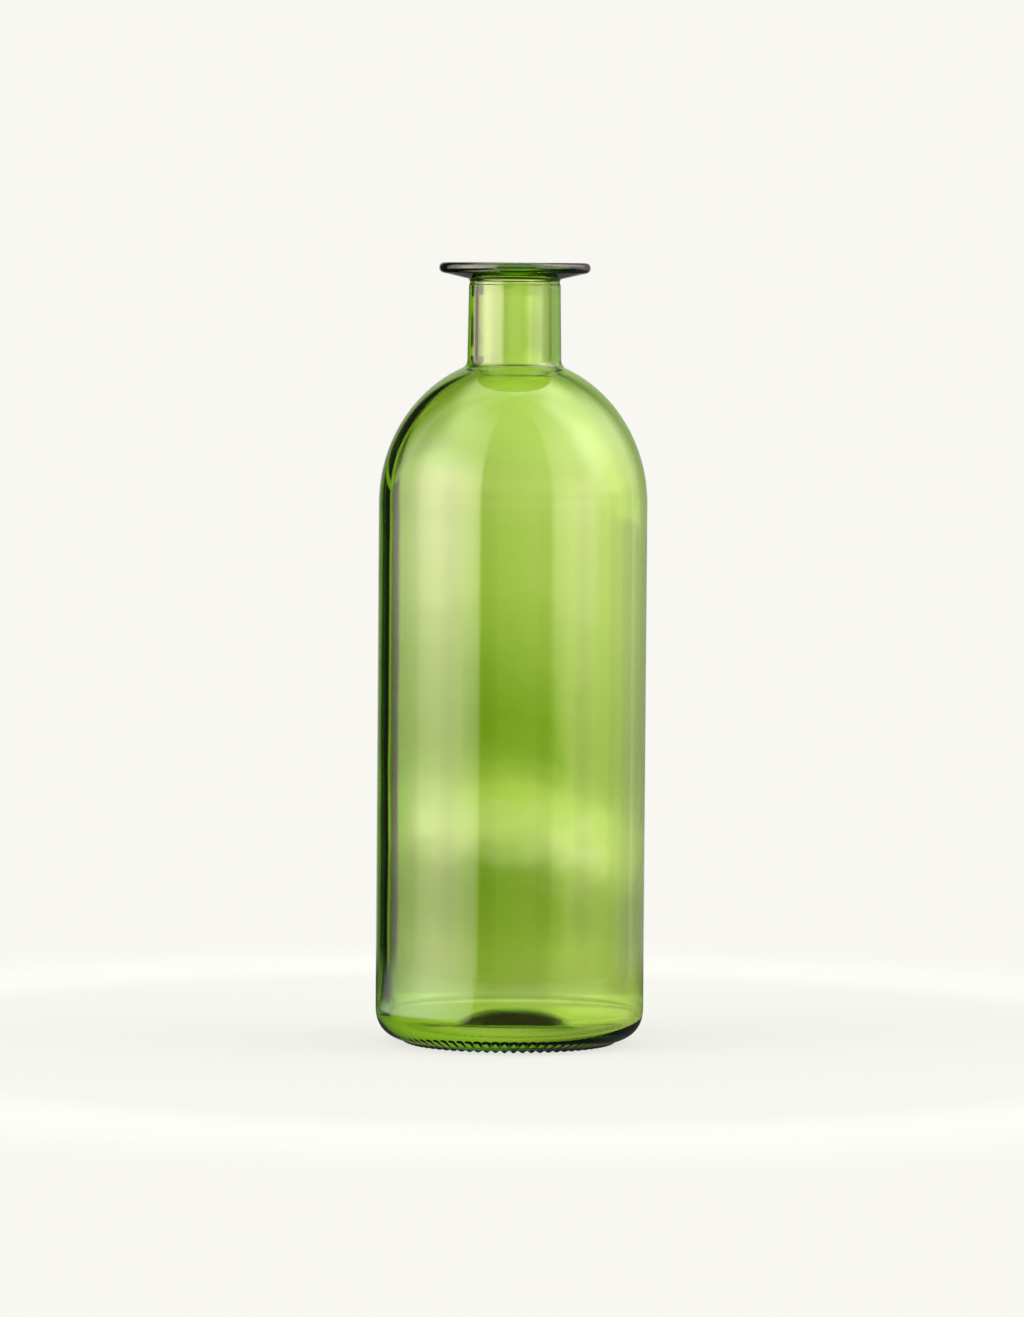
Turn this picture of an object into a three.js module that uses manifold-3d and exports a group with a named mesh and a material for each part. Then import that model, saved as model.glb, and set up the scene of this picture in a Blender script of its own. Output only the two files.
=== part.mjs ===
// A pressed and blown bottle vase in clear green glass: a flanged lip on a slim neck, a domed shoulder,
// a straight barrel and a thick base with a push-up and a ring of knurl bars to stand on.
// Millimetres, +Z up. The origin is on the axis, in the plane that the knurl bars stand on.
// The real vase is one piece of glass. It is drawn as its five zones, which meet face to face.
import * as THREE from 'three';
import { mergeVertices } from 'three/addons/utils/BufferGeometryUtils.js';
import Module from 'manifold-3d';

// Driving dimensions of the barrel and the shoulder
const bodyDiameter = 75;
const bodyWall = 2.4;
const barrelLength = 137;
const shoulderHeight = 41;

// Driving dimensions of the neck and the bore
const boreDiameter = 20.4;
const neckWall = 2.9;
const neckTaper = 0.3;
const neckFillet = 2.5;
const neckLand = 1;
const neckLength = 19.5;

// Driving dimensions of the lip, which is formed in a ring of its own above the seam
const seamStep = 0.2;
const collarHeight = 1.6;
const collarFillet = 0.8;
const lipDiameter = 42.2;
const lipEdgeThickness = 3;
const lipEdgeRadius = 1.4;
const lipUndercutDrop = 1.5;
const mouthRadius = 1;

// Driving dimensions of the base
const baseHeight = 14;
const seatHeight = 0.5;
const heelHeight = 9.5;
const heelWidth = 12;
const heelFullness = 0.67;
const pushUp = 6.2;
const pushUpShape = 1.5;
const floorThickness = 3;
const hillRise = 6.2;
const hillRadius = 23.5;
const hillShape = 1.45;
const innerHeelTop = 9;
const innerHeelWidth = 7.5;
const innerHeelFullness = 0.6;

// Driving dimensions of the knurl ring
const knurlCount = 72;
const knurlWidth = 1.2;
const knurlInset = 0.5;
const knurlFlat = 3.2;
const knurlRunOut = 2.6;
const knurlSink = 0.2;

// Smoothness: one facet carries one knurl bar, so that every zone has the same facets
const sides = knurlCount;
const curveSteps = 9;
const cornerSteps = 4;
const green = 0x8fb63f;

// Radii and heights that the zones share
const bodyRadius = bodyDiameter / 2;
const bodyInner = bodyRadius - bodyWall;
const bore = boreDiameter / 2;
const neckFoot = bore + neckWall;
const neckTop = neckFoot - neckTaper;
const collar = neckTop - seamStep;
const lipRadius = lipDiameter / 2;
const shoulderStart = baseHeight + barrelLength;
const seatRadius = bodyRadius - heelWidth;
const floorLow = seatHeight + floorThickness;

function point(radius, height) {
  return new THREE.Vector2(radius, height);
}

// Points of a round arc, from one angle to another, in degrees from the +radius direction
function arc(centre, radius, from, to, steps) {
  const points = [];
  for (let i = 0; i <= steps; i++) {
    const angle = THREE.MathUtils.degToRad(from + ((to - from) * i) / steps);
    points.push(point(centre.x + radius * Math.cos(angle), centre.y + radius * Math.sin(angle)));
  }
  return points;
}

// A soft corner from a vertical wall down to a level floor. Fullness 0.55 makes it an ellipse.
function heel(wall, top, width, bottom, fullness, steps) {
  const height = top - bottom;
  const curve = new THREE.CubicBezierCurve(
    point(wall, top),
    point(wall, top - height * fullness),
    point(wall - width * (1 - fullness), bottom),
    point(wall - width, bottom),
  );
  return curve.getPoints(steps);
}

// A low dome that starts and ends level, from its rim to the axis. Shape 1 is a cosine, and a
// higher shape has a broader top.
function dome(rim, low, rise, shape, steps) {
  const points = [];
  for (let i = 0; i <= steps; i++) {
    const share = 1 - i / steps;
    const height = (rise * (1 + Math.cos(Math.PI * share ** shape))) / 2;
    points.push(point(rim * share, low + height));
  }
  return points;
}

// A quarter ellipse above the barrel, run into a vertical neck by a concave fillet
function shoulderCurve(radius, rise, neck, fillet) {
  const at = (t) => point(radius * Math.cos(t), shoulderStart + rise * Math.sin(t));
  const out = (t) => point(Math.cos(t) / radius, Math.sin(t) / rise).normalize();
  let low = 0;
  let high = Math.PI / 2;
  for (let i = 0; i < 50; i++) {
    const middle = (low + high) / 2;
    const reach = at(middle).x + fillet * out(middle).x;
    if (reach > neck + fillet) low = middle;
    else high = middle;
  }
  const centre = at(low).addScaledVector(out(low), fillet);
  const meets = THREE.MathUtils.radToDeg(Math.atan2(out(low).y, out(low).x)) + 180;
  const points = [];
  for (let i = 0; i < curveSteps; i++) points.push(at((low * i) / curveSteps));
  return { points: points.concat(arc(centre, fillet, meets, 180, cornerSteps)), end: centre.y };
}

const outerShoulder = shoulderCurve(bodyRadius, shoulderHeight, neckFoot, neckFillet);
const innerShoulder = shoulderCurve(
  bodyInner,
  shoulderHeight - bodyWall,
  bore,
  neckFillet + neckWall,
);
const neckStart = Math.max(outerShoulder.end, innerShoulder.end) + neckLand;
const seam = neckStart + neckLength;

// The collar, the sloping underside, the rounded edge, the flat top and the rounded mouth
function lipProfile() {
  const underside = seam + collarHeight;
  const edgeBottom = underside + lipUndercutDrop;
  const top = edgeBottom + lipEdgeThickness;
  const edge = lipRadius - lipEdgeRadius;
  const slope = THREE.MathUtils.radToDeg(
    Math.atan2(lipUndercutDrop, edge - collar - collarFillet),
  );
  return [
    point(collar, seam),
    ...arc(point(collar + collarFillet, underside - collarFillet), collarFillet, 180, 90 + slope, 2),
    ...arc(point(edge, edgeBottom + lipEdgeRadius), lipEdgeRadius, slope - 90, 0, cornerSteps),
    ...arc(point(edge, top - lipEdgeRadius), lipEdgeRadius, 0, 90, cornerSteps),
    ...arc(point(bore + mouthRadius, top - mouthRadius), mouthRadius, 90, 180, cornerSteps),
    point(bore, seam),
  ];
}

function neckProfile() {
  return [
    point(neckFoot, neckStart),
    point(neckTop, seam),
    point(bore, seam),
    point(bore, neckStart),
  ];
}

function shoulderProfile() {
  return [
    ...outerShoulder.points,
    point(neckFoot, neckStart),
    point(bore, neckStart),
    ...innerShoulder.points.reverse(),
  ];
}

function bodyProfile() {
  return [
    point(bodyRadius, baseHeight),
    point(bodyRadius, shoulderStart),
    point(bodyInner, shoulderStart),
    point(bodyInner, baseHeight),
  ];
}

const heelPoints = heel(
  bodyRadius,
  seatHeight + heelHeight,
  heelWidth,
  seatHeight,
  heelFullness,
  curveSteps,
);

// From the middle of the push-up out to the heel, up to the barrel, and back over the inner floor
// to the hill above the push-up
function baseProfile() {
  return [
    ...dome(seatRadius, seatHeight, pushUp, pushUpShape, cornerSteps).reverse(),
    ...heelPoints.slice(0, -1).reverse(),
    point(bodyRadius, baseHeight),
    point(bodyInner, baseHeight),
    ...heel(bodyInner, innerHeelTop, innerHeelWidth, floorLow, innerHeelFullness, cornerSteps),
    ...dome(hillRadius, floorLow, hillRise, hillShape, cornerSteps),
  ];
}

// Turns a profile about the axis. It runs up the outside and down the inside, and closes on itself
// or starts and ends on the axis.
function turned(profile) {
  const points = [...profile];
  if (profile[0].x > 0) points.push(profile[0].clone());
  return new THREE.LatheGeometry(points, sides).rotateX(Math.PI / 2);
}

const wasm = await Module();
wasm.setup();

// The shared vertices are merged and the triangles that closed up on the axis are left out
function solid(geometry) {
  const bare = geometry.clone();
  bare.deleteAttribute('normal');
  bare.deleteAttribute('uv');
  const merged = mergeVertices(bare, 1e-4);
  const corners = merged.index.array;
  const kept = [];
  for (let i = 0; i < corners.length; i += 3) {
    const [a, b, c] = corners.slice(i, i + 3);
    if (a !== b && b !== c && c !== a) kept.push(a, b, c);
  }
  return new wasm.Manifold(
    new wasm.Mesh({
      numProp: 3,
      vertProperties: new Float32Array(merged.attributes.position.array),
      triVerts: new Uint32Array(kept),
    }),
  );
}

function fromSolid(shape) {
  const mesh = shape.getMesh();
  const geometry = new THREE.BufferGeometry();
  geometry.setAttribute('position', new THREE.BufferAttribute(mesh.vertProperties, 3));
  geometry.setIndex(new THREE.BufferAttribute(mesh.triVerts, 1));
  return geometry;
}

// Height of the heel's surface at a radius, between the points that it is drawn with
function heelAt(radius) {
  const outer = heelPoints.findLast((p) => p.x >= radius);
  const inner = heelPoints.find((p) => p.x < radius);
  return THREE.MathUtils.mapLinear(radius, inner.x, outer.x, inner.y, outer.y);
}

// One knurl bar, seen from its side: a flat crest to stand on, which runs out into the heel
function knurlBar(index) {
  const start = seatRadius + knurlInset;
  const end = start + knurlFlat + knurlRunOut;
  const root = heelAt(end) + knurlSink;
  const side = new THREE.Shape([
    point(start, 0),
    point(start + knurlFlat, 0),
    point(end, root),
    point(start, root),
  ]);
  const bar = new THREE.ExtrudeGeometry(side, { depth: knurlWidth, bevelEnabled: false });
  const turn = ((index + 0.5) * 2 * Math.PI) / knurlCount;
  return bar.translate(0, 0, -knurlWidth / 2).rotateX(Math.PI / 2).rotateZ(turn);
}

function baseGeometry() {
  let base = solid(turned(baseProfile()));
  for (let i = 0; i < knurlCount; i++) base = base.add(solid(knurlBar(i)));
  return fromSolid(base);
}

function piece(name, geometry) {
  const glass = new THREE.MeshStandardMaterial({
    color: green,
    roughness: 0.04,
    metalness: 0,
    transparent: true,
    opacity: 0.45,
  });
  const mesh = new THREE.Mesh(geometry, glass);
  mesh.name = name;
  return mesh;
}

const group = new THREE.Group();
group.add(piece('lip', turned(lipProfile())));
group.add(piece('neck', turned(neckProfile())));
group.add(piece('shoulder', turned(shoulderProfile())));
group.add(piece('body', turned(bodyProfile())));
group.add(piece('base', baseGeometry()));

export default group;
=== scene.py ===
import math

import bpy
from mathutils import Matrix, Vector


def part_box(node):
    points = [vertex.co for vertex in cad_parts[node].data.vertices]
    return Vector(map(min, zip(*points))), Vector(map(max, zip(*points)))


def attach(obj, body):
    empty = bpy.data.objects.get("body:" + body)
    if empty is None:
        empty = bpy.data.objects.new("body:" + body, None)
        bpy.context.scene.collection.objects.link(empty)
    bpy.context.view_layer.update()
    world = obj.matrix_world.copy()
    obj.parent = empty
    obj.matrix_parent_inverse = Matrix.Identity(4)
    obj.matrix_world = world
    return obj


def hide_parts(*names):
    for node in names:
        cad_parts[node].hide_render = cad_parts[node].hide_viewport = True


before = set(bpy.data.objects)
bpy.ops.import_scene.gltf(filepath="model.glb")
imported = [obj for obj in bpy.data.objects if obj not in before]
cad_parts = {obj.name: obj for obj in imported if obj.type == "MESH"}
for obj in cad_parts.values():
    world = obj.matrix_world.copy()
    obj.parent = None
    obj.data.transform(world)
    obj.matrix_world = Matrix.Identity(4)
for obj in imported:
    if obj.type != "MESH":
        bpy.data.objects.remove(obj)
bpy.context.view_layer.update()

MM = 0.001


# Shader maths

class Value:
    """A number that varies over a surface. Python's operators add its Math nodes."""

    def __init__(self, nodes, socket):
        self.nodes = nodes
        self.socket = socket

    def maths(self, operation, *others):
        """A Math node of that operation, on this value and up to two others."""
        inputs = {0: self, **dict(enumerate(others, 1))}
        return self.nodes.number("ShaderNodeMath", {"operation": operation}, inputs)

    def __add__(self, other):
        return self.maths("ADD", other)

    def __radd__(self, other):
        return self.maths("ADD", other)

    def __sub__(self, other):
        return self.maths("SUBTRACT", other)

    def __rsub__(self, other):
        return self.nodes.number("ShaderNodeMath", {"operation": "SUBTRACT"}, {0: other, 1: self})

    def __mul__(self, other):
        return self.maths("MULTIPLY", other)

    def __rmul__(self, other):
        return self.maths("MULTIPLY", other)

    def __truediv__(self, other):
        return self.maths("DIVIDE", other)

    def most(self, other):
        """The larger of the two."""
        return self.maths("MAXIMUM", other)

    def size(self):
        """The value without its sign."""
        return self.maths("ABSOLUTE")

    def step(self, low, high):
        """0 below low, 1 above high, and a soft run between them."""
        settings = {"interpolation_type": "SMOOTHSTEP"}
        inputs = {"Value": self, "From Min": low, "From Max": high}
        return self.nodes.number("ShaderNodeMapRange", settings, inputs, "Result")

    def window(self, low, high, low_run, high_run):
        """1 between low and high, with soft runs outside them."""
        return self.step(low - low_run, low) * (1 - self.step(high, high + high_run))


class Nodes:
    """The node tree of a material or of the world."""

    def __init__(self, owner):
        self.tree = owner.node_tree
        self.tree.nodes.clear()

    def add(self, kind, settings=None, inputs=None):
        """A node of that kind: its settings first, then the values or links of its sockets."""
        node = self.tree.nodes.new(kind)
        for name, value in (settings or {}).items():
            if name == "stops":
                self.set_stops(node.color_ramp, value)
            else:
                setattr(node, name, value)
        for name, value in (inputs or {}).items():
            if isinstance(value, Value):
                value = value.socket
            if isinstance(value, bpy.types.NodeSocket):
                self.tree.links.new(value, node.inputs[name])
            else:
                node.inputs[name].default_value = value
        return node

    def set_stops(self, ramp, stops):
        """A ramp's colours, each at its place from 0 to 1."""
        while len(ramp.elements) < len(stops):
            ramp.elements.new(1)
        for element, (place, colour) in zip(ramp.elements, stops):
            element.position = place
            element.color = (*colour, 1)

    def number(self, kind, settings=None, inputs=None, output=0):
        """A node whose output is a number, ready for shader maths."""
        return Value(self, self.add(kind, settings, inputs).outputs[output])

    def mix_colours(self, factor, first, second):
        """first where factor is 0 and second where it is 1. A factor above 1 makes second brighter."""
        settings = {"data_type": "RGBA", "clamp_factor": False}
        return self.add("ShaderNodeMix", settings, {0: factor, 6: first, 7: second}).outputs[2]


def grey(level):
    """A colour of equal parts."""
    return (level, level, level)


# Operators as by hand

def deselect_all():
    """Nothing is left selected, the solids among them."""
    for other in bpy.context.selected_objects:
        other.select_set(False)


def edit(piece):
    """Opens the piece for editing, alone and with nothing selected in it."""
    deselect_all()
    piece.select_set(True)
    bpy.context.view_layer.objects.active = piece
    bpy.ops.object.mode_set(mode="EDIT")
    bpy.ops.mesh.select_mode(type="VERT")
    bpy.ops.mesh.select_all(action="DESELECT")


def select_vertices(piece, wanted):
    """Selects the vertices whose place answers to wanted, in edit mode."""
    bpy.ops.mesh.select_all(action="DESELECT")
    bpy.ops.object.mode_set(mode="OBJECT")
    for vertex in piece.data.vertices:
        vertex.select = wanted(vertex.co)
    bpy.ops.object.mode_set(mode="EDIT")


def apply_modifier(piece, kind, **settings):
    """Puts a modifier on the piece and applies it to the mesh."""
    modifier = piece.modifiers.new(kind.title(), kind)
    for name, value in settings.items():
        setattr(modifier, name, value)
    bpy.context.view_layer.objects.active = piece
    bpy.ops.object.modifier_apply(modifier=modifier.name)


# The vase's profile. Its reach comes from the solids' boxes, and the other sizes are the solids' own.

lip_low, lip_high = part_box("lip")
neck_low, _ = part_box("neck")
body_low, body_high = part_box("body")

body_radius = body_high.x
body_wall = 2.4 * MM
body_inner = body_radius - body_wall
bore = 10.2 * MM
neck_foot = 13.1 * MM
neck_top = 12.8 * MM
collar = 12.6 * MM
lip_radius = lip_high.x
seam = lip_low.z
rim = lip_high.z
barrel_start = body_low.z
barrel_end = body_high.z
shoulder_height = 41 * MM
neck_fillet = 2.5 * MM
neck_wall = 2.9 * MM
seat = 0.5 * MM
heel_width = 12 * MM
heel_height = 9.5 * MM
heel_fullness = 0.67
push_up = 6.2 * MM
push_up_edge = 25.5 * MM
push_up_shape = 1.5
floor_low = 3.5 * MM
hill_rise = 6.2 * MM
hill_edge = 23.5 * MM
hill_shape = 1.45
inner_heel_top = 9 * MM
inner_heel_width = 7.5 * MM
inner_heel_fullness = 0.6


def arc(centre, radius, start, end, steps):
    """Points of a round arc, from one angle to another, in degrees from straight outward."""
    points = []
    for i in range(steps + 1):
        angle = math.radians(start + (end - start) * i / steps)
        points.append((centre[0] + radius * math.cos(angle), centre[1] + radius * math.sin(angle)))
    return points


def straight(start, end, steps):
    """Points of a straight line, both ends among them."""
    points = []
    for i in range(steps + 1):
        share = i / steps
        points.append((start[0] + (end[0] - start[0]) * share, start[1] + (end[1] - start[1]) * share))
    return points


def heel(wall, top, width, bottom, fullness, steps):
    """The soft corner from a vertical wall down to the floor, drawn with two handles."""
    points = []
    for i in range(steps + 1):
        t = i / steps
        handles = [
            (wall, top),
            (wall, top - (top - bottom) * fullness),
            (wall - width * (1 - fullness), bottom),
            (wall - width, bottom),
        ]
        shares = [(1 - t) ** 3, 3 * t * (1 - t) ** 2, 3 * t * t * (1 - t), t**3]
        points.append(tuple(sum(s * h[axis] for s, h in zip(shares, handles)) for axis in (0, 1)))
    return points


def dome_height(radius, edge, low, rise, shape):
    """The height of a low dome that starts and ends level. A higher shape gives it a broader top."""
    return low + rise * (1 + math.cos(math.pi * min(1, radius / edge) ** shape)) / 2


def dome(edge, low, rise, shape, steps):
    """Points of the dome, from its edge to the axis."""
    radii = [edge * (1 - i / steps) for i in range(steps + 1)]
    return [(radius, dome_height(radius, edge, low, rise, shape)) for radius in radii]


def shoulder(radius, rise, neck, fillet, steps, fillet_steps):
    """A quarter ellipse above the barrel, run into the upright neck by a hollow fillet."""
    low, high = 0.0, math.pi / 2
    for _ in range(50):
        t = (low + high) / 2
        out = (math.cos(t) / radius, math.sin(t) / rise)
        reach = radius * math.cos(t) + fillet * out[0] / math.hypot(*out)
        if reach > neck + fillet:
            low = t
        else:
            high = t
    length = math.hypot(*out)
    out = (out[0] / length, out[1] / length)
    centre = (radius * math.cos(t) + fillet * out[0], barrel_end + rise * math.sin(t) + fillet * out[1])
    meets = math.degrees(math.atan2(out[1], out[0])) + 180
    points = []
    for i in range(steps):
        angle = t * i / steps
        points.append((radius * math.cos(angle), barrel_end + rise * math.sin(angle)))
    return points + arc(centre, fillet, meets, 180, fillet_steps)


def lip_rows():
    """The seam, the collar, the sloping underside, the rounded edge, the flat top and the rounded mouth."""
    collar_height = 1.6 * MM
    undercut = 1.5 * MM
    corner = 1.4 * MM
    fillet = 0.8 * MM
    mouth = 1 * MM
    underside = seam + collar_height
    edge_bottom = underside + undercut
    edge = lip_radius - corner
    slope = math.degrees(math.atan2(undercut, edge - collar - fillet))
    return [
        (neck_top - 0.02 * MM, seam - 0.12 * MM),
        (collar + 0.04 * MM, seam + 0.02 * MM),
        (collar, seam + 0.2 * MM),
        *arc((collar + fillet, underside - fillet), fillet, 180, 90 + slope, 5),
        *arc((edge, edge_bottom + corner), corner, slope - 90, 0, 8),
        *arc((edge, rim - corner), corner, 0, 90, 8)[1:],
        *straight((edge, rim), (bore + mouth, rim), 5)[1:-1],
        *arc((bore + mouth, rim - mouth), mouth, 90, 180, 6),
    ]


heel_rows = heel(body_radius, seat + heel_height, heel_width, seat, heel_fullness, 22)[::-1]
outer_rows = [
    *dome(push_up_edge, seat, push_up, push_up_shape, 14)[::-1],
    *heel_rows[1:],
    *straight((body_radius, barrel_start), (body_radius, barrel_end), 27)[:-1],
    *shoulder(body_radius, shoulder_height, neck_foot, neck_fillet, 22, 8),
    *straight((neck_foot, neck_low.z), (neck_top, seam - 0.3 * MM), 6),
]
inner_rows = [
    *straight((bore, seam), (bore, neck_low.z), 6),
    *shoulder(body_inner, shoulder_height - body_wall, bore, neck_fillet + neck_wall, 20, 8)[::-1],
    *straight((body_inner, barrel_end), (body_inner, inner_heel_top), 27)[1:-1],
    *heel(body_inner, inner_heel_top, inner_heel_width, floor_low, inner_heel_fullness, 14),
    *dome(hill_edge, floor_low, hill_rise, hill_shape, 14),
]
rows = outer_rows + lip_rows() + inner_rows


# One tooth of the knurl ring is five degrees of the vase, drawn once and copied round

teeth = 72
tooth_columns = 6
tooth_angle = math.radians(360 / teeth)
crest_start = 27 * MM
crest_end = 29.2 * MM
crest_ease = 0.3 * MM
tooth_end = 30.8 * MM
tooth_shape = [0, 0.25, 0.75, 1, 0.75, 0.25, 0]
smallest_drop = 0.005 * MM
same_place = 0.02 * MM
weld = 0.002 * MM


def draw_profile(name, points):
    """A line of edges through the points, in the plane of X and Z."""
    deselect_all()
    bpy.ops.mesh.primitive_plane_add(size=1 * MM, location=(0, 0, 0))
    line = bpy.context.object
    line.name = line.data.name = name
    edit(line)
    bpy.ops.mesh.select_all(action="SELECT")
    bpy.ops.mesh.merge(type="CENTER")
    bpy.ops.transform.translate(value=(points[0][0], 0, points[0][1]))
    for here, there in zip(points, points[1:]):
        step = (there[0] - here[0], 0, there[1] - here[1])
        bpy.ops.mesh.extrude_region_move(TRANSFORM_OT_translate={"value": step})
    return line


def tooth_drop(radius, height):
    """How far the crest of a tooth lies below the heel, at a point of the heel."""
    if not crest_start - crest_ease < radius < tooth_end:
        return 0
    start = min(1, (radius - crest_start + crest_ease) / (2 * crest_ease))
    root = next(h for r, h in heel_rows if r >= tooth_end)
    crest = max(0, (radius - crest_end) / (tooth_end - crest_end)) * root
    return max(0, height - crest) * start


def press_tooth(piece):
    """Moves the heel's vertices down to the rounded tooth, row by row and column by column."""
    for radius, height in heel_rows:
        drop = tooth_drop(radius, height)
        if drop < smallest_drop:
            continue
        for column, share in enumerate(tooth_shape):
            if share == 0:
                continue
            angle = tooth_angle * column / tooth_columns
            place = (radius * math.cos(angle), radius * math.sin(angle), height)
            select_vertices(piece, lambda co: math.dist(co, place) < same_place)
            bpy.ops.transform.translate(value=(0, 0, -drop * share))


vase = draw_profile("vase_glass", rows)
bpy.ops.mesh.select_all(action="SELECT")
bpy.ops.mesh.spin(steps=tooth_columns, angle=tooth_angle, center=(0, 0, 0), axis=(0, 0, -1))
bpy.ops.mesh.select_all(action="SELECT")
bpy.ops.mesh.remove_doubles(threshold=weld)
press_tooth(vase)
bpy.ops.mesh.select_all(action="SELECT")
bpy.ops.mesh.spin(
    steps=teeth - 1,
    angle=tooth_angle * (teeth - 1),
    center=(0, 0, 0),
    axis=(0, 0, -1),
    dupli=True,
)
bpy.ops.mesh.select_all(action="SELECT")
bpy.ops.mesh.remove_doubles(threshold=weld)
bpy.ops.mesh.normals_make_consistent(inside=False)
bpy.ops.object.mode_set(mode="OBJECT")
bpy.ops.object.shade_smooth()


# The blown wall isn't even: it is thicker on the left, and its inside is gently wavy

inside_shift = 0.95 * MM
waviness = 0.05 * MM
wave_size = 22 * MM


def is_inside(co):
    """Whether a point of the mesh is on the inside of the glass, below the neck."""
    radius = math.hypot(co.x, co.y)
    if co.z < barrel_start:
        floor_height = dome_height(radius, hill_edge, floor_low, hill_rise, hill_shape)
        outside = next((r for r, h in heel_rows if h > co.z), body_radius)
        return radius < outside - 1 * MM and co.z > floor_height - 0.5 * MM
    if co.z > barrel_end:
        reach = math.hypot(radius / body_radius, (co.z - barrel_end) / shoulder_height)
        return reach < 0.975 and co.z < neck_low.z
    return radius < body_radius - 1.5 * MM


def inner_weight(co):
    """1 over the inside of the barrel, floor and all, falling to 0 at the neck."""
    if not is_inside(co):
        return 0
    below_neck = neck_low.z - 4 * MM - co.z
    share = max(0, min(1, below_neck / (45 * MM)))
    return share * share * (3 - 2 * share)


def weight_group(piece, name, weigh):
    """A vertex group that holds what weigh says of each vertex's place."""
    group = piece.vertex_groups.new(name=name)
    for vertex in piece.data.vertices:
        weight = min(1, weigh(vertex.co))
        if weight > 0.001:
            group.add([vertex.index], weight, "REPLACE")


def clouds(name, size):
    """A soft pattern of hills and hollows, for the waviness of blown glass."""
    texture = bpy.data.textures.new(name, "CLOUDS")
    texture.noise_scale = size
    texture.noise_depth = 1
    return texture


weight_group(vase, "inner_wall", inner_weight)
apply_modifier(
    vase,
    "DISPLACE",
    texture=clouds("waviness", wave_size),
    texture_coords="LOCAL",
    vertex_group="inner_wall",
    direction="NORMAL",
    mid_level=0.5,
    strength=waviness,
)
apply_modifier(
    vase,
    "DISPLACE",
    vertex_group="inner_wall",
    direction="X",
    mid_level=0,
    strength=inside_shift,
)


# Materials

def glass_material():
    """Clear glass whose green grows with the thickness, with a faint ripple and haze."""
    material = bpy.data.materials.new("green_glass")
    material.use_nodes = True
    nodes = Nodes(material)
    place = nodes.add("ShaderNodeTexCoord").outputs["Object"]
    ripple = nodes.number("ShaderNodeTexNoise", None, {"Vector": place, "Scale": 45, "Detail": 2})
    bump = nodes.add("ShaderNodeBump", None, {"Height": ripple, "Strength": 0.3, "Distance": 0.1 * MM})
    haze = nodes.number("ShaderNodeTexNoise", None, {"Vector": place, "Scale": 120, "Detail": 3})
    glass = nodes.add(
        "ShaderNodeBsdfPrincipled",
        None,
        {
            "Base Color": (1, 1, 1, 1),
            "Roughness": haze.step(0.55, 0.9) * 0.02,
            "IOR": 1.52,
            "Transmission Weight": 1,
            "Normal": bump.outputs["Normal"],
        },
    )
    tint = nodes.add(
        "ShaderNodeVolumeAbsorption",
        None,
        {"Color": (0.7, 0.85, 0.117, 1), "Density": 600},
    )
    nodes.add(
        "ShaderNodeOutputMaterial",
        None,
        {"Surface": glass.outputs[0], "Volume": tint.outputs[0]},
    )
    return material


vase.data.materials.append(glass_material())
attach(vase, "root")
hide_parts("lip", "neck", "shoulder", "body", "base")


# The studio: a pale floor, a pale backdrop, black flags and two soft boxes

CREAM = (0.939, 0.930, 0.888, 1)
WARM = (1.25, 0.95, 0.93, 1)
SOFT = (1.08, 1.04, 0.82, 1)
OLIVE = (0.588, 0.735, 0.224, 1)


def ramp(nodes, value, low, high, levels, scale=1):
    """A level by a value that runs from low to high, through stops of value and level."""
    stops = [((place - low) / (high - low), grey(level)) for place, level in levels]
    share = (value - low) / (high - low)
    return Value(nodes, nodes.add("ShaderNodeValToRGB", {"stops": stops}, {0: share}).outputs[0]) * scale


def around(nodes, turn, levels, scale=1):
    """A level of light by the turn from straight behind the vase, in degrees, minus to the left."""
    return ramp(nodes, turn, -180, 180, levels, scale)


def left_box(nodes, turn):
    """The tall soft box at the left."""
    return around(
        nodes,
        turn,
        [
            (-180, 0), (-153, 0), (-151.5, 0.38), (-145, 0.6), (-130, 0.85), (-115, 1),
            (-105, 0.95), (-96, 0.8), (-87, 0.58), (-76, 0.37), (-65, 0.26), (-50, 0),
        ],
        7.6,
    )


def turned_from_back(across, back):
    """The turn from straight behind the vase, in degrees, minus to the left."""
    return across.maths("ARCTAN2", back) * (180 / math.pi)


floor_radius = 300 * MM


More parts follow.
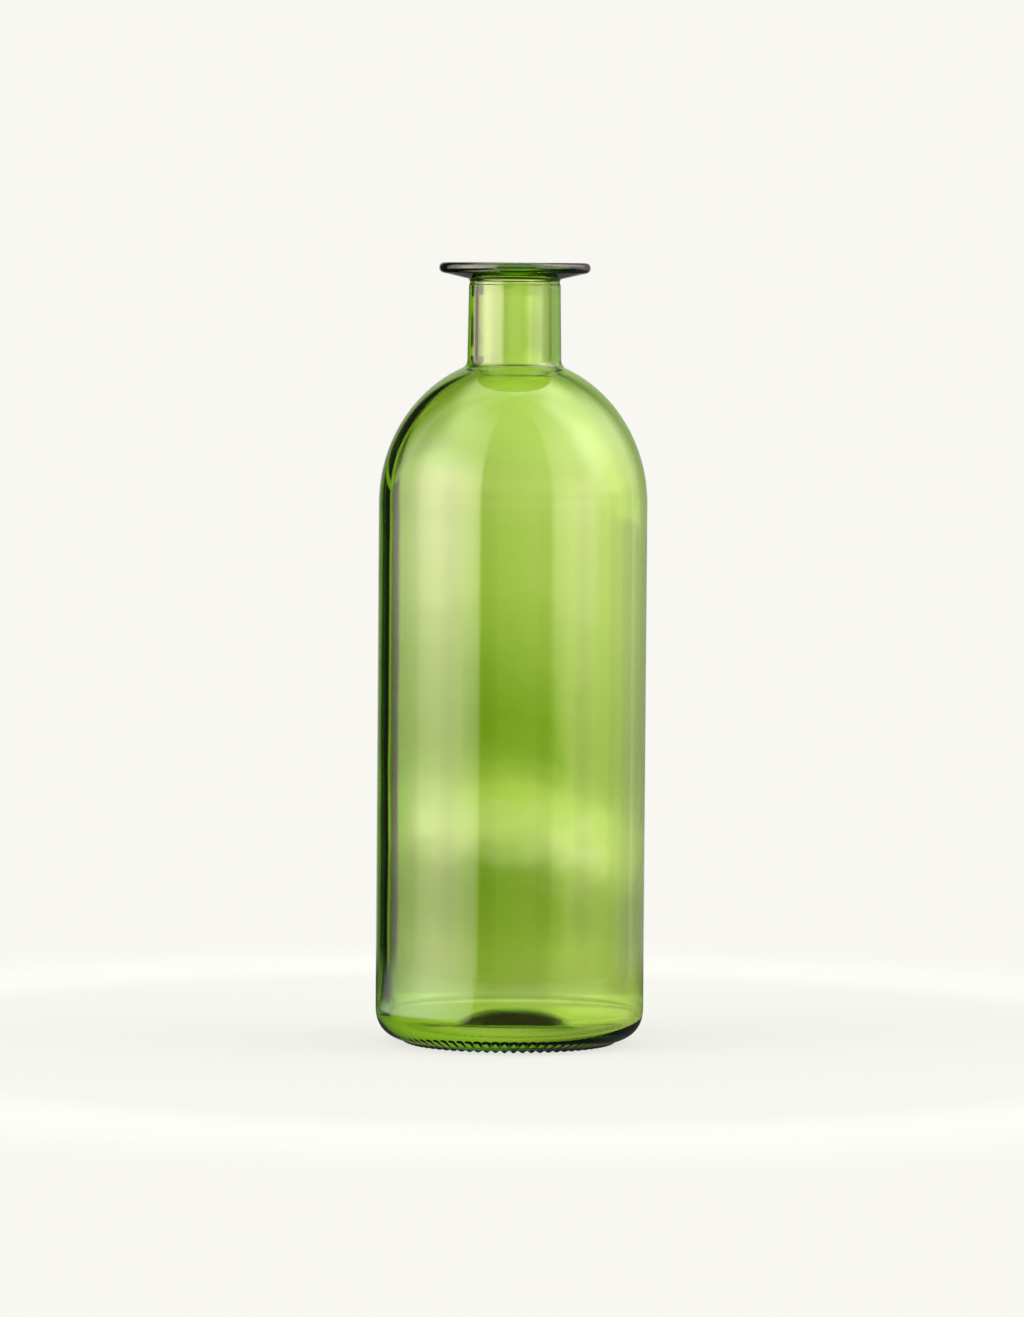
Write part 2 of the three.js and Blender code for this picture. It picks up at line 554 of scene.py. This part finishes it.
def floor_material():
    """Pale, with a soft shadow. To the glass it is a polished table that glows with painted light and
    shade.
    """
    material = bpy.data.materials.new("pale_floor")
    material.use_nodes = True
    nodes = Nodes(material)
    place = nodes.add("ShaderNodeTexCoord").outputs["Object"]
    distance = nodes.number("ShaderNodeVectorMath", {"operation": "LENGTH"}, {0: place}, "Value")
    path = nodes.add("ShaderNodeLightPath")
    seen = nodes.add("ShaderNodeEmission", None, {"Color": CREAM, "Strength": 1})
    matt = nodes.add("ShaderNodeBsdfDiffuse", None, {"Color": (0.452, 0.532, 0.526, 1)})
    plain = nodes.add("ShaderNodeMixShader", None, {0: 0.25, 1: seen.outputs[0], 2: matt.outputs[0]})
    split = nodes.add("ShaderNodeSeparateXYZ", None, {0: place})
    across = Value(nodes, split.outputs[0])
    back = Value(nodes, split.outputs[1])

    # Painted light and shade that the glass sees through itself: a painted shadow beneath the vase, the
    # unshaded table round it, and a painted bright spot
    under = 0.14 + 0.8 * (1 - across.step(-8 * MM, 34 * MM))
    unshaded_table = distance.step(30 * MM, 36 * MM).most(back.step(5 * MM, 30 * MM))
    # Painted bright spot on the table, behind the vase and to the right
    painted_spot_across = across.window(18 * MM, 34 * MM, 10 * MM, 10 * MM)
    painted_spot_back = back.window(38 * MM, 56 * MM, 15 * MM, 15 * MM)
    level = under * (1 - unshaded_table) + unshaded_table + 0.35 * painted_spot_across * painted_spot_back
    # Painted shade on the table further off, and a painted bright band across it behind the vase
    level = level * (1 - 0.25 * distance.step(110 * MM, 160 * MM))
    level = level * (1 + 0.35 * back.window(98 * MM, 118 * MM, 14 * MM, 10 * MM))
    turn = turned_from_back(across, back)
    # Painted shadow of a black flag on the table, at the left behind the vase
    painted_flag_shadow = turn.window(-58, -37, 4, 4) * distance.step(90 * MM, 130 * MM)
    level = level * (1 - 0.92 * painted_flag_shadow)

    # What the outside of the glass mirrors of the table: a painted glow of a pale card in front, and a
    # painted reflection of the box at the left
    painted_card_glow = 0.08 + distance.window(188 * MM, 232 * MM, 22 * MM, 5 * MM) * (1 - back.step(-60 * MM, 0))
    painted_box_reflection = 0.6 * left_box(nodes, turn) * distance.step(70 * MM, 110 * MM)
    through = Value(nodes, path.outputs["Is Transmission Ray"])
    level = level * through + (painted_card_glow + painted_box_reflection) * (1 - through)
    # The table glows with the painted light and shade above, for the glass's rays only
    table = nodes.add("ShaderNodeEmission", None, {"Color": CREAM, "Strength": level})
    polish = nodes.add("ShaderNodeBsdfGlossy", None, {"Roughness": 0.05})
    polished = nodes.number("ShaderNodeFresnel", None, {"IOR": 1.45}) * 0.6 * through
    gloss = nodes.add("ShaderNodeMixShader", None, {0: polished, 1: table.outputs[0], 2: polish.outputs[0]})
    floor = nodes.add(
        "ShaderNodeMixShader",
        None,
        {0: path.outputs["Is Camera Ray"], 1: gloss.outputs[0], 2: plain.outputs[0]},
    )
    clear = nodes.add("ShaderNodeBsdfTransparent")
    edge = distance.step(170 * MM, floor_radius)
    soft = nodes.add("ShaderNodeMixShader", None, {0: edge, 1: floor.outputs[0], 2: clear.outputs[0]})
    nodes.add("ShaderNodeOutputMaterial", None, {"Surface": soft.outputs[0]})
    return material


deselect_all()
bpy.ops.mesh.primitive_circle_add(
    vertices=128,
    radius=floor_radius,
    fill_type="NGON",
    location=(0, 0, 0),
)
floor = bpy.context.object
floor.name = floor.data.name = "pale_floor"
floor.data.materials.append(floor_material())


def seen_through(nodes, turn, rise):
    """What shows through the glass: a pale backdrop, banded low down, and slim black flags."""
    backdrop = around(
        nodes,
        turn,
        [
            (-180, 0.5), (-165, 0.5), (-150, 0.85), (-30, 0.8), (-12, 0.88), (-7, 0.78), (-3.2, 0.77),
            (-2.4, 0.8), (-0.6, 0.83), (0.2, 0.88), (3.5, 0.82), (6, 0.72), (11, 0.72), (15, 0.6),
            (55, 0.6), (70, 0.85), (150, 0.85), (165, 0.5), (180, 0.5),
        ],
        1.2,
    )
    high = rise.step(-1.5, -1)
    sides = 0.28 * turn.window(4, 12, 3, 2) - 0.2 * turn.window(-22, -5, 3, 2)
    backdrop = backdrop * (1 + high * sides)
    flags = turn.window(-35, -18, 3, 3) * (1 - 0.9 * rise.window(-1.8, -0.7, 0.4, 0.6))
    flags = flags.most(turn.window(-80, -44, 4, 4))
    for middle in (-154, -116, 64, 116, 154):
        flags = flags.most(turn.window(middle - 6, middle + 6, 3, 3))
    flags = flags * rise.window(-7, 34, 1, 6)
    heights = ramp(
        nodes,
        rise,
        -9,
        1,
        [
            (-7, 0.76), (-6.2, 0.68), (-5.8, 0.62), (-5.35, 0.57), (-5.1, 0.6), (-4.9, 0.77), (-4.75, 0.9),
            (-4.5, 0.92), (-4.3, 0.75), (-4.1, 0.67), (-3.9, 0.66), (-3.5, 0.7), (-2.75, 0.8), (0, 0.9),
        ],
        1.25,
    )
    overhead = 1 - 0.94 * rise.step(14, 42) * (1 - rise.step(62, 76))
    underfoot = 0.15 + 0.85 * rise.step(-24, -12)
    return backdrop * heights * (1 - 0.98 * flags) * overhead * underfoot


def olive_part(nodes, turn, rise):
    """How green the backdrop is low down, just left of its middle."""
    levels = [
        (-7, 0), (-5.8, 0.4), (-5.3, 0.7), (-5.1, 0.7), (-4.8, 0), (-4.45, 0),
        (-4.1, 0.9), (-3.9, 1), (-3.5, 0.75), (-2.8, 0),
    ]
    return ramp(nodes, rise, -8, 0, levels) * turn.window(-3.2, -0.5, 0.6, 0.5)


def mirrored_boxes(nodes, turn, rise):
    """What the outside of the glass mirrors: two tall soft boxes and the paler parts of the front."""
    left_lift = ramp(
        nodes,
        rise,
        -8,
        8,
        [
            (-6, 0.6), (-5.8, 0.58), (-5.35, 0.45), (-5.1, 0.5), (-4.85, 0.66), (-4.6, 0.66),
            (-4.2, 0.5), (-3.9, 0.5), (-3.3, 0.65), (-2.75, 0.95), (-2.3, 1.04), (-1.8, 0.95), (8, 1),
        ],
    )
    right_box = around(
        nodes,
        turn,
        [
            (30, 0), (50, 0.3), (68, 0.52), (90, 0.85), (108, 1), (125, 1),
            (138, 0.75), (145.5, 0.5), (147, 0),
        ],
        3.4,
    )
    right_lift = ramp(
        nodes,
        rise,
        -8,
        62,
        [
            (-5.8, 0.1), (-5.3, 0), (-5.05, 0.06), (-4.85, 0.25), (-4.6, 0.25), (-4.4, 0.06),
            (-4, 0.03), (-3.6, 0.06), (-2.75, 0.36), (-1.9, 0.5), (12, 0.45), (20, 0.8),
            (28, 1.1), (40, 1.2), (60, 0.7),
        ],
        1.7,
    )
    front = ramp(
        nodes,
        rise,
        -8,
        14,
        [
            (-8, 0), (-5.05, 0), (-4.92, 0.25), (-4.8, 0.85), (-4.66, 1), (-4.5, 0.6), (-4.35, 0.1),
            (-4, 0), (-2.75, 0.08), (-1.9, 0.3), (-0.8, 0.4), (0.9, 0.7), (1.6, 0.7),
            (4, 0.45), (12, 0.7),
        ],
        1.75,
    )
    front = front * turn.size().step(75, 100)
    left = left_box(nodes, turn) * left_lift
    left = left * (1 - 0.55 * rise.step(18, 42)) * (1 - rise.step(45, 80))
    near_right = (1 - turn.step(96, 112)) * (1 - rise.step(1.5, 9))
    far_right = turn.step(92, 122) * rise.step(8, 22)
    right = right_box * right_lift * (1 - rise.step(60, 80))
    right = right * (1 - 0.65 * near_right) * (1 - 0.6 * far_right)
    front = front + 2.4 * rise.step(45, 65) * (1 - turn.size().step(50, 130))
    return (left + right + front) * rise.step(-12, -7.5)


def mirrored_backdrop(nodes, turn, rise):
    """What the outside of the glass mirrors of the backdrop, which is dim at the left."""
    levels = [
        (-180, 0), (-75, 0), (-65, 0.4), (-60, 0.04), (-25, 0.03), (-10, 0.6), (8, 0.6),
        (14, 0.35), (38, 0.4), (50, 0.8), (70, 0.5), (85, 0), (180, 0),
    ]
    return around(nodes, turn, levels) * (0.25 + 0.75 * rise.step(-14, -7))


def studio_world():
    """Cream to the camera and to matt surfaces. The glass sees and mirrors a staged studio."""
    world = bpy.data.worlds.new("studio")
    world.use_nodes = True
    nodes = Nodes(world)
    place = nodes.add("ShaderNodeTexCoord").outputs["Generated"]
    split = nodes.add("ShaderNodeSeparateXYZ", None, {0: place})
    across = Value(nodes, split.outputs[0])
    back = Value(nodes, split.outputs[1])
    up = Value(nodes, split.outputs[2])
    turn = turned_from_back(across, back)
    rise = up.maths("ARCSINE") * (180 / math.pi)
    slanted = rise + turn.most(-1.5).maths("MINIMUM", 1.5) * 0.1
    tilted = rise + across * 0.12
    path = nodes.add("ShaderNodeLightPath")
    pale = nodes.mix_colours(olive_part(nodes, turn, slanted).socket, CREAM, OLIVE)
    through = nodes.mix_colours(seen_through(nodes, turn, slanted).socket, (0, 0, 0, 1), pale)
    backdrop = nodes.mix_colours(mirrored_backdrop(nodes, turn, rise).socket, (0, 0, 0, 1), CREAM)
    tint = nodes.mix_colours(rise.step(12, 30).socket, WARM, SOFT)
    boxes = nodes.mix_colours(mirrored_boxes(nodes, turn, tilted).socket, (0, 0, 0, 1), tint)
    added = {"data_type": "RGBA", "blend_type": "ADD"}
    mirror = nodes.add("ShaderNodeMix", added, {0: 1, 6: backdrop, 7: boxes}).outputs[2]
    studio = nodes.mix_colours(path.outputs["Is Transmission Ray"], mirror, through)
    plain = Value(nodes, path.outputs["Is Camera Ray"]) + Value(nodes, path.outputs["Is Diffuse Ray"])
    colour = nodes.mix_colours(plain.socket, studio, CREAM)
    sky = nodes.add("ShaderNodeBackground", None, {"Color": colour, "Strength": 1})
    nodes.add("ShaderNodeOutputWorld", None, {"Surface": sky.outputs[0]})
    return world


bpy.context.scene.world = studio_world()


# The camera stands level with the rim, turned by a hair as the photograph is

aim = 107.7 * MM
camera_distance = 1950 * MM
dip = math.atan2(rim - aim, camera_distance)
tilt = math.radians(0.438)
turned = Matrix.Rotation(math.pi / 2 - dip, 3, "X") @ Matrix.Rotation(tilt, 3, "Z")
bpy.ops.object.camera_add(location=(0, -camera_distance, rim), rotation=turned.to_euler())
camera = bpy.context.object
camera.data.lens = 191
camera.data.sensor_width = 36
bpy.context.scene.camera = camera

bpy.context.scene.view_settings.view_transform = "Standard"
